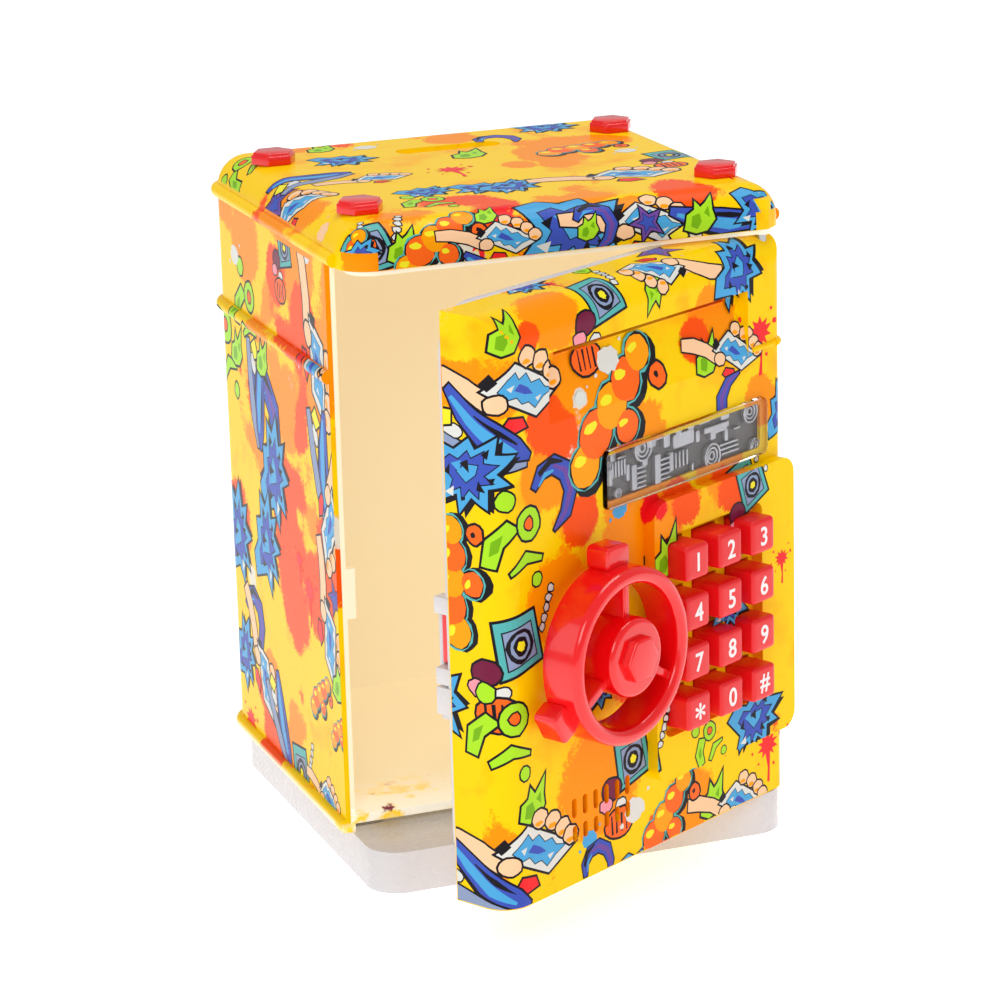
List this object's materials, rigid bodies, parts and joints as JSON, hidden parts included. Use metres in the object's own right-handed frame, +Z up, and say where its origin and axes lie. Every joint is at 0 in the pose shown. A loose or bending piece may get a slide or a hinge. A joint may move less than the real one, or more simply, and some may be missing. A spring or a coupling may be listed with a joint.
{
  "type": "toy safe coin bank",
  "caption": "Box-shaped toy safe with a bolted lid, a hinged front door, a turning handle, a keypad, a window, a note slot and a coin slot.",
  "frame": {"origin": "centre of the flat underside of the base tray", "axes": "+Z up, -Y out of the front, +X to the right of someone facing the front, where the door is hinged"},
  "size_m": [0.134, 0.1946, 0.1935],
  "materials": {
    "printed_plastic": "printed gloss plastic",
    "white_plastic": "smooth moulded",
    "red_plastic": "gloss moulded",
    "red_key_plastic": "satin moulded",
    "clear_plastic": "clear moulded",
    "silver_plastic": "metallised",
    "red_lens": "clear tinted",
    "green_lens": "clear tinted",
    "board": "lacquered",
    "chip": "matte",
    "grey_rubber": "matte",
    "black_paper": "matte",
    "steel": "plated",
    "cell_wrap": "foil",
    "brass": "turned"
  },
  "bodies": {
    "cabinet": {"top_cap": "printed_plastic", "cabinet_shell": "printed_plastic", "base_tray": "white_plastic", "bolt_caps": "red_plastic", "base_screws": "steel", "hinge_pins": "steel"},
    "door": {"door_front": "printed_plastic", "door_back": "white_plastic", "window_lens": "clear_plastic", "relief_plate": "silver_plastic", "red_led": "red_lens", "green_led": "green_lens", "circuit_board": "board", "board_chips": "chip", "key_domes": "grey_rubber", "speaker_basket": "steel", "speaker_cone": "black_paper", "speaker_magnet": "steel", "battery_cells": "cell_wrap", "battery_contacts": "steel", "battery_cover": "white_plastic", "battery_screw": "steel", "door_screws": "steel", "feeder_frame": "white_plastic", "feed_motor": "steel", "lock_solenoid": "steel", "latch_cover": "white_plastic"},
    "handle": {"wheel_handle": "red_plastic", "handle_spindle": "white_plastic", "handle_screw": "steel"},
    "bolt": {"latch_bolt": "red_plastic"},
    "plunger": {"lock_plunger": "steel"},
    "feed_shaft": {"feed_roller": "white_plastic", "feed_tyres": "grey_rubber"},
    "motor_shaft": {"motor_pinion": "brass"},
    "pinch_shaft": {"pinch_roller": "grey_rubber"},
    "button_1": {"key_1": "red_key_plastic"},
    "button_2": {"key_2": "red_key_plastic"},
    "button_3": {"key_3": "red_key_plastic"},
    "button_4": {"key_4": "red_key_plastic"},
    "button_5": {"key_5": "red_key_plastic"},
    "button_6": {"key_6": "red_key_plastic"},
    "button_7": {"key_7": "red_key_plastic"},
    "button_8": {"key_8": "red_key_plastic"},
    "button_9": {"key_9": "red_key_plastic"},
    "button_star": {"key_star": "red_key_plastic"},
    "button_0": {"key_0": "red_key_plastic"},
    "button_hash": {"key_hash": "red_key_plastic"}
  },
  "joints": [
    {"name": "door_hinge", "type": "hinge", "parent": "cabinet", "child": "door", "pos_m": [0.0582, -0.0574, 0.095], "axis": [0, 0, 1], "range_deg": [-28.8, 81.2]},
    {"name": "handle_turn", "type": "hinge", "parent": "door", "child": "handle", "pos_m": [-0.01359, -0.102, 0.0785], "axis": [-0.4818, 0.8763, 0], "range_deg": [0, 50]},
    {"name": "bolt_slide", "type": "slide", "parent": "door", "child": "bolt", "axis": [-0.8763, -0.4818, 0], "range_m": [0, 0.00611]},
    {"name": "plunger_slide", "type": "slide", "parent": "door", "child": "plunger", "axis": [-0.4818, 0.8763, 0], "range_m": [0, 0.0018]},
    {"name": "feed_turn", "type": "hinge", "parent": "door", "child": "feed_shaft", "pos_m": [-0.03727, -0.1019, 0.165], "axis": [0.8763, 0.4818, 0], "continuous": true},
    {"name": "motor_turn", "type": "hinge", "parent": "door", "child": "motor_shaft", "pos_m": [-0.03727, -0.1019, 0.1549], "axis": [0.8763, 0.4818, 0], "continuous": true},
    {"name": "pinch_turn", "type": "hinge", "parent": "door", "child": "pinch_shaft", "pos_m": [-0.03727, -0.1019, 0.158], "axis": [0.8763, 0.4818, 0], "continuous": true},
    {"name": "press_1", "type": "slide", "parent": "door", "child": "button_1", "axis": [-0.4818, 0.8763, 0], "range_m": [0, 0.0012], "stiffness_N_per_m": 400, "springref_m": -0.0006},
    {"name": "press_2", "type": "slide", "parent": "door", "child": "button_2", "axis": [-0.4818, 0.8763, 0], "range_m": [0, 0.0012], "stiffness_N_per_m": 400, "springref_m": -0.0006},
    {"name": "press_3", "type": "slide", "parent": "door", "child": "button_3", "axis": [-0.4818, 0.8763, 0], "range_m": [0, 0.0012], "stiffness_N_per_m": 400, "springref_m": -0.0006},
    {"name": "press_4", "type": "slide", "parent": "door", "child": "button_4", "axis": [-0.4818, 0.8763, 0], "range_m": [0, 0.0012], "stiffness_N_per_m": 400, "springref_m": -0.0006},
    {"name": "press_5", "type": "slide", "parent": "door", "child": "button_5", "axis": [-0.4818, 0.8763, 0], "range_m": [0, 0.0012], "stiffness_N_per_m": 400, "springref_m": -0.0006},
    {"name": "press_6", "type": "slide", "parent": "door", "child": "button_6", "axis": [-0.4818, 0.8763, 0], "range_m": [0, 0.0012], "stiffness_N_per_m": 400, "springref_m": -0.0006},
    {"name": "press_7", "type": "slide", "parent": "door", "child": "button_7", "axis": [-0.4818, 0.8763, 0], "range_m": [0, 0.0012], "stiffness_N_per_m": 400, "springref_m": -0.0006},
    {"name": "press_8", "type": "slide", "parent": "door", "child": "button_8", "axis": [-0.4818, 0.8763, 0], "range_m": [0, 0.0012], "stiffness_N_per_m": 400, "springref_m": -0.0006},
    {"name": "press_9", "type": "slide", "parent": "door", "child": "button_9", "axis": [-0.4818, 0.8763, 0], "range_m": [0, 0.0012], "stiffness_N_per_m": 400, "springref_m": -0.0006},
    {"name": "press_star", "type": "slide", "parent": "door", "child": "button_star", "axis": [-0.4818, 0.8763, 0], "range_m": [0, 0.0012], "stiffness_N_per_m": 400, "springref_m": -0.0006},
    {"name": "press_0", "type": "slide", "parent": "door", "child": "button_0", "axis": [-0.4818, 0.8763, 0], "range_m": [0, 0.0012], "stiffness_N_per_m": 400, "springref_m": -0.0006},
    {"name": "press_hash", "type": "slide", "parent": "door", "child": "button_hash", "axis": [-0.4818, 0.8763, 0], "range_m": [0, 0.0012], "stiffness_N_per_m": 400, "springref_m": -0.0006}
  ],
  "couplings": [
    {"joint": "bolt_slide", "follows": "handle_turn", "m_per_rad": 0.007},
    {"joint": "plunger_slide", "follows": "handle_turn", "m_per_rad": 0.0020627},
    {"joint": "motor_turn", "follows": "feed_turn", "ratio": -1.5},
    {"joint": "pinch_turn", "follows": "feed_turn", "ratio": -1}
  ]
}
